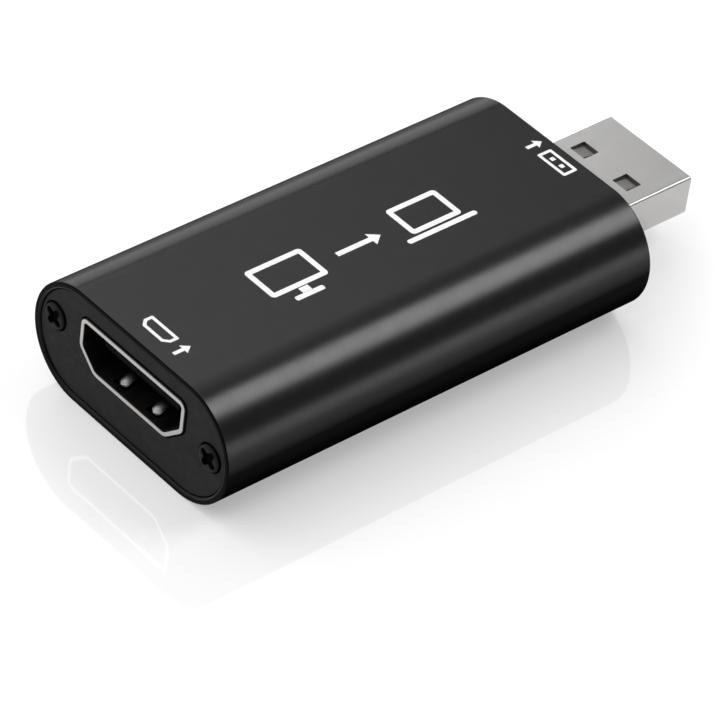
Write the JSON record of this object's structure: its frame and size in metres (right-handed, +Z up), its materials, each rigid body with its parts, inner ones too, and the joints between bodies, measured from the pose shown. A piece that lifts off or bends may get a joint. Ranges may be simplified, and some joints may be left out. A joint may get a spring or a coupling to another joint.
{
  "type": "video signal converter",
  "caption": "Pocket video capture converter: a flat round-sided metal sleeve with a 19-way video socket in one end and a type A computer plug on the other.",
  "frame": {"origin": "on the surface that the body rests on, under the middle of the overall length", "axes": "+X across the body, +Y along it from the video socket to the computer plug, +Z up through the top face"},
  "size_m": [0.028, 0.0658, 0.0128],
  "materials": {
    "sleeve_aluminium": "black anodised, satin",
    "plate_metal": "black, matt",
    "screw_steel": "blackened",
    "board_laminate": "black solder mask, satin",
    "socket_steel": "bright, nickel plated",
    "socket_plastic": "black moulding",
    "contact_gold": "gold plated",
    "plug_steel": "nickel plated, satin",
    "plug_plastic": "white moulding",
    "chip_plastic": "black moulding compound, matt",
    "lead_tin": "tinned",
    "crystal_ceramic": "ceramic, matt",
    "crystal_metal": "plated lid",
    "capacitor_ceramic": "fired ceramic, satin",
    "resistor_ceramic": "coated ceramic",
    "bead_ferrite": "ferrite, matt"
  },
  "bodies": {
    "root": {"sleeve": "sleeve_aluminium", "front_plate": "plate_metal", "rear_plate": "plate_metal", "front_screws": "screw_steel", "rear_screws": "screw_steel", "circuit_board": "board_laminate", "socket_shell": "socket_steel", "socket_insulator": "socket_plastic", "socket_upper_contacts": "contact_gold", "socket_lower_contacts": "contact_gold", "plug_shell": "plug_steel", "plug_insulator": "plug_plastic", "plug_contacts": "contact_gold", "capture_chip": "chip_plastic", "capture_chip_leads": "lead_tin", "memory_chip": "chip_plastic", "memory_chip_leads": "lead_tin", "crystal_base": "crystal_ceramic", "crystal_lid": "crystal_metal", "regulators": "chip_plastic", "regulator_leads": "lead_tin", "capacitors": "capacitor_ceramic", "resistors": "resistor_ceramic", "surge_arrays": "chip_plastic", "ferrite_bead": "bead_ferrite"}
  },
  "joints": []
}
